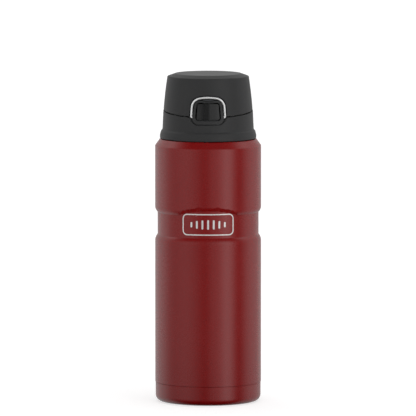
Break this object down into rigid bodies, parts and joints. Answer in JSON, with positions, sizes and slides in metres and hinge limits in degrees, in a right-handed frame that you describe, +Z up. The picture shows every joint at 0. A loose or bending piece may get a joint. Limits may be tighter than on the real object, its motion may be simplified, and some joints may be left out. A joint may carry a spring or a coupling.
{
  "type": "insulated water bottle",
  "caption": "Vacuum insulated steel bottle with a waist band, a screw-on drinking closure, and a push-button flip lid held by a wire lock.",
  "frame": {"origin": "centre of the base, on the plane it stands on", "axes": "+Z up along the bottle; the button and the wire lock face -Y, the hinge is at +Y"},
  "size_m": [0.079, 0.079, 0.245],
  "materials": {
    "coated_steel": "matte dark red powder coat on stainless steel",
    "base_steel": "matte dark red powder coat on stainless steel",
    "bare_steel": "satin stainless steel",
    "foil": "bright foil",
    "seal_glass": "fused glass bead",
    "getter_metal": "sintered metal",
    "black_plastic": "moulded black plastic, fine texture",
    "button_plastic": "smooth black plastic",
    "grey_plastic": "moulded dark grey plastic",
    "silicone": "translucent grey silicone",
    "wire_steel": "bright stainless wire",
    "pin_steel": "ground steel"
  },
  "bodies": {
    "bottle": {"outer_shell": "coated_steel", "base_cup": "base_steel", "base_disc": "bare_steel", "vacuum_seal": "seal_glass", "inner_vessel": "bare_steel", "radiation_foil": "foil", "getter": "getter_metal", "getter_clip": "getter_metal"},
    "closure_lift": {"neck_gasket": "silicone"},
    "closure": {"threaded_core": "grey_plastic", "core_seal": "silicone", "collar_shell": "black_plastic", "drinking_spout": "grey_plastic", "latch_housing": "black_plastic", "button_pin": "pin_steel", "button_spring": "pin_steel", "hinge_pin": "pin_steel", "hinge_spring": "pin_steel"},
    "lid": {"lid_cover": "black_plastic", "lid_liner": "grey_plastic", "spout_seal": "silicone"},
    "button": {"push_button": "button_plastic"},
    "bail": {"lock_bail": "wire_steel"}
  },
  "joints": [
    {"name": "closure_lift", "type": "slide", "parent": "bottle", "child": "closure_lift", "axis": [0, 0, 1], "range_m": [0, 0.009]},
    {"name": "closure_turn", "type": "hinge", "parent": "closure_lift", "child": "closure", "pos_m": [0, 0, 0.21049], "axis": [0, 0, 1], "range_deg": [0, 720]},
    {"name": "lid_hinge", "type": "hinge", "parent": "closure", "child": "lid", "pos_m": [0, 0.03475, 0.22099], "axis": [-1, 0, 0], "range_deg": [0, 105]},
    {"name": "button_press", "type": "hinge", "parent": "closure", "child": "button", "pos_m": [0, -0.02825, 0.21639], "axis": [-1, 0, 0], "range_deg": [0, 7], "stiffness_Nm_per_rad": 0.4},
    {"name": "bail_swing", "type": "hinge", "parent": "closure", "child": "bail", "pos_m": [0, -0.03113, 0.21469], "axis": [1, 0, 0], "range_deg": [0, 130]}
  ],
  "couplings": [
    {"joint": "closure_lift", "follows": "closure_turn", "m_per_rad": 0.0007162}
  ]
}
